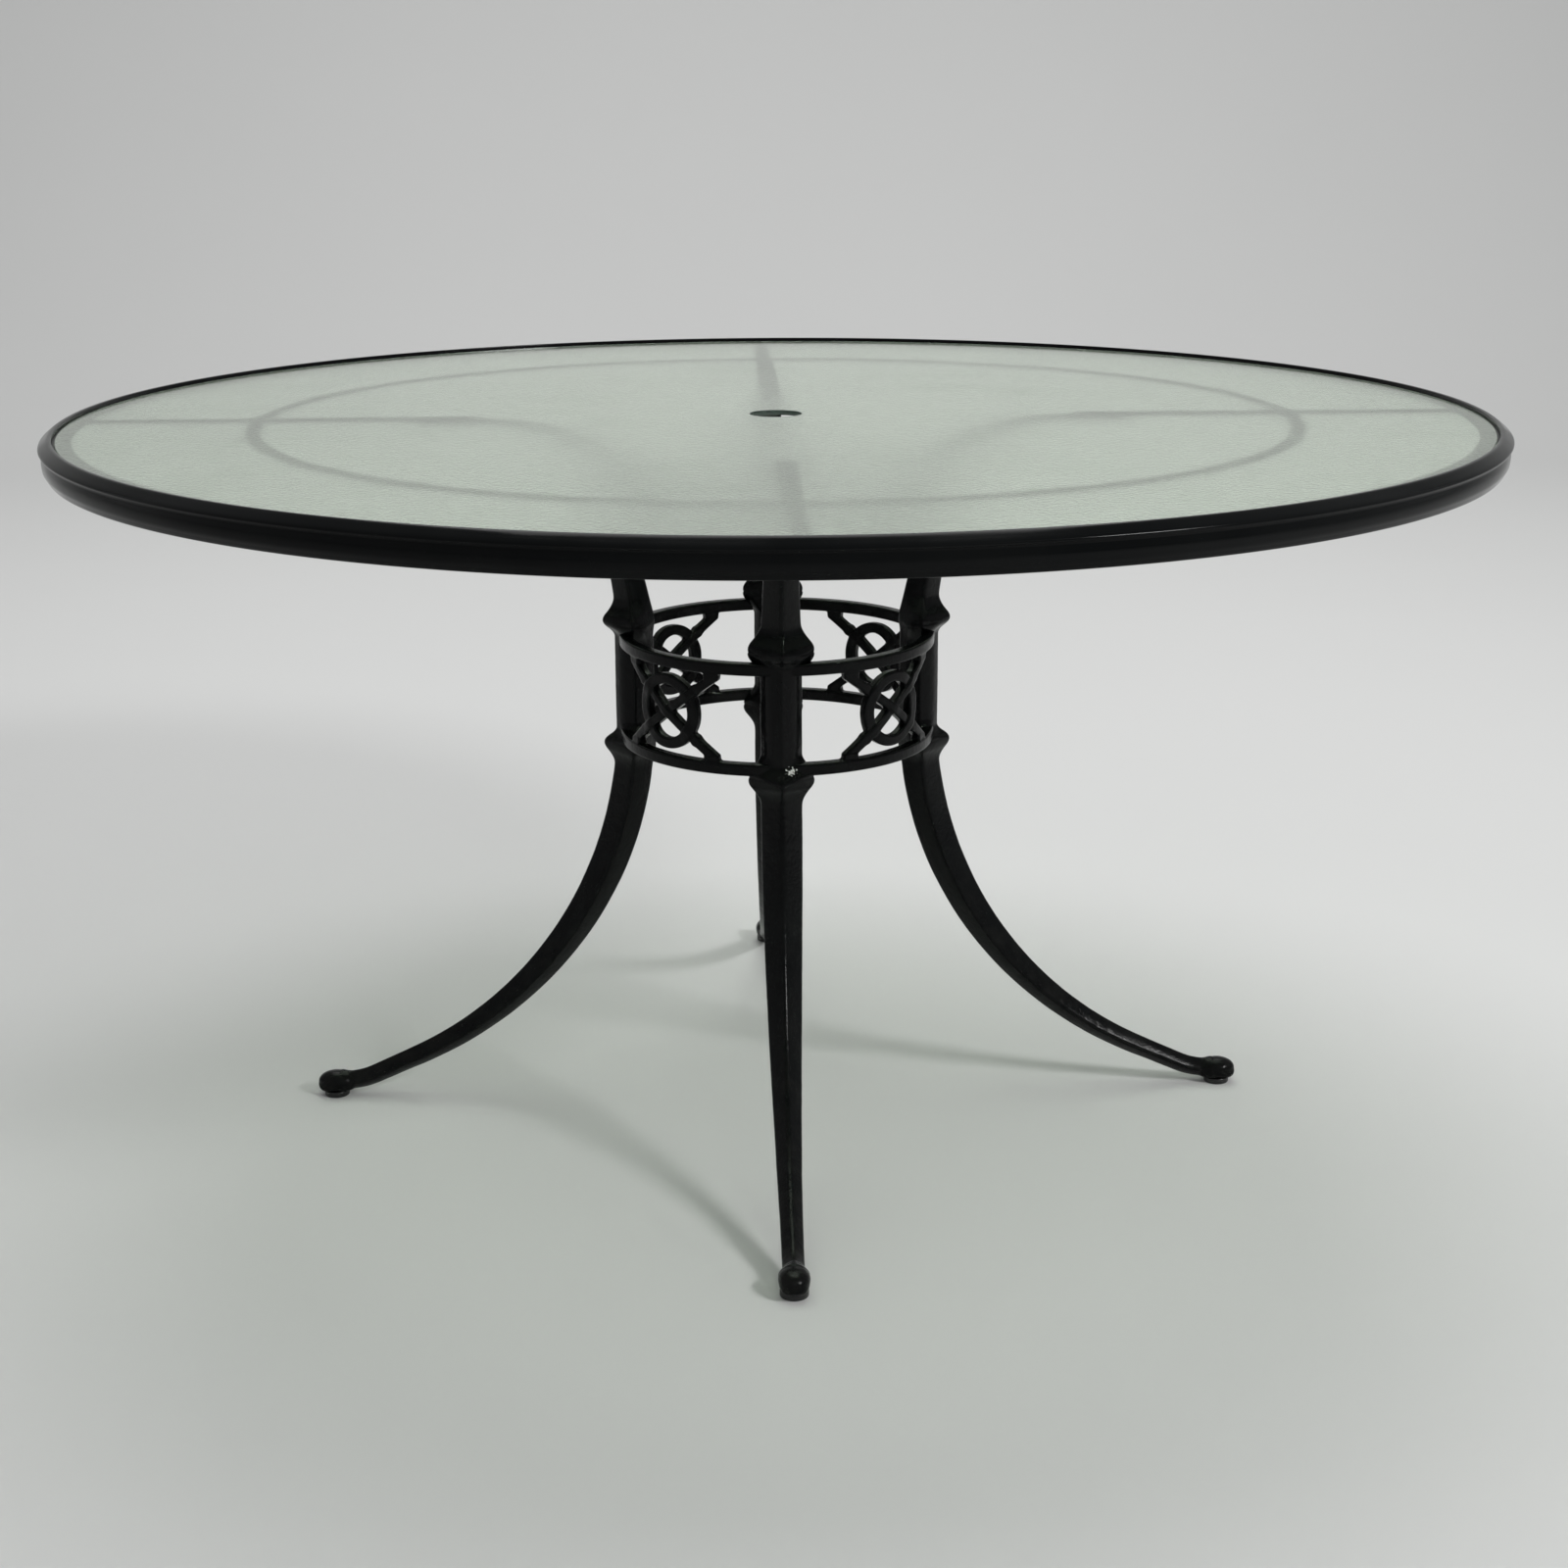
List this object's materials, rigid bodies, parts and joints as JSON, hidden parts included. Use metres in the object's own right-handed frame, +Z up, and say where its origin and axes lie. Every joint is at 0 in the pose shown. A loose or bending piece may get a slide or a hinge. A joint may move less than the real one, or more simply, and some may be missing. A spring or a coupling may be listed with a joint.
{
  "type": "umbrella table",
  "caption": "Round glass-topped patio table with an umbrella hole, a rolled rim and S-curved cast legs held by a pierced collar.",
  "frame": {"origin": "on the floor, on the table's upright axis, straight under the umbrella hole", "axes": "+Z up; the legs stand on +X, +Y, -X and -Y, and leg_4 on -Y is the one nearest the picture's camera"},
  "size_m": [1.3798, 1.38, 0.7085],
  "materials": {
    "glass": "satin",
    "rim_coat": "gloss",
    "frame_coat": "satin",
    "casting_coat": "gloss",
    "vinyl": "satin",
    "clear_vinyl": "satin",
    "steel": "satin",
    "pad_plastic": "satin"
  },
  "bodies": {
    "table": {"glass_top": "glass", "glass_cushion": "vinyl", "glass_bumpers": "clear_vinyl", "rim_frame": "rim_coat", "support_ring": "frame_coat", "arm_bolts": "steel", "arm_washers": "steel", "ring_screws": "steel", "rim_screws": "steel", "leg_1": "casting_coat", "collar_panel_1": "casting_coat", "top_spoke_1": "frame_coat", "foot_insert_1": "steel", "leg_2": "casting_coat", "collar_panel_2": "casting_coat", "top_spoke_2": "frame_coat", "foot_insert_2": "steel", "leg_3": "casting_coat", "collar_panel_3": "casting_coat", "top_spoke_3": "frame_coat", "foot_insert_3": "steel", "leg_4": "casting_coat", "collar_panel_4": "casting_coat", "top_spoke_4": "frame_coat", "foot_insert_4": "steel"},
    "pad_1": {"glide_pad_1": "pad_plastic"},
    "stud_1": {"glide_stud_1": "steel"},
    "pad_2": {"glide_pad_2": "pad_plastic"},
    "stud_2": {"glide_stud_2": "steel"},
    "pad_3": {"glide_pad_3": "pad_plastic"},
    "stud_3": {"glide_stud_3": "steel"},
    "pad_4": {"glide_pad_4": "pad_plastic"},
    "stud_4": {"glide_stud_4": "steel"}
  },
  "joints": [
    {"name": "glide_travel_1", "type": "slide", "parent": "table", "child": "pad_1", "axis": [0, 0, -1], "range_m": [0, 0.008]},
    {"name": "stud_turn_1", "type": "hinge", "parent": "pad_1", "child": "stud_1", "pos_m": [0.461, 0, 0], "axis": [0, 0, -1], "range_deg": [0, 2300]},
    {"name": "glide_travel_2", "type": "slide", "parent": "table", "child": "pad_2", "axis": [0, 0, -1], "range_m": [0, 0.008]},
    {"name": "stud_turn_2", "type": "hinge", "parent": "pad_2", "child": "stud_2", "pos_m": [0, 0.461, 0], "axis": [0, 0, -1], "range_deg": [0, 2300]},
    {"name": "glide_travel_3", "type": "slide", "parent": "table", "child": "pad_3", "axis": [0, 0, -1], "range_m": [0, 0.008]},
    {"name": "stud_turn_3", "type": "hinge", "parent": "pad_3", "child": "stud_3", "pos_m": [-0.461, 0, 0], "axis": [0, 0, -1], "range_deg": [0, 2300]},
    {"name": "glide_travel_4", "type": "slide", "parent": "table", "child": "pad_4", "axis": [0, 0, -1], "range_m": [0, 0.008]},
    {"name": "stud_turn_4", "type": "hinge", "parent": "pad_4", "child": "stud_4", "pos_m": [0, -0.461, 0], "axis": [0, 0, -1], "range_deg": [0, 2300]}
  ],
  "couplings": [
    {"joint": "glide_travel_1", "follows": "stud_turn_1", "m_per_rad": 0.00019894},
    {"joint": "glide_travel_2", "follows": "stud_turn_2", "m_per_rad": 0.00019894},
    {"joint": "glide_travel_3", "follows": "stud_turn_3", "m_per_rad": 0.00019894},
    {"joint": "glide_travel_4", "follows": "stud_turn_4", "m_per_rad": 0.00019894}
  ]
}
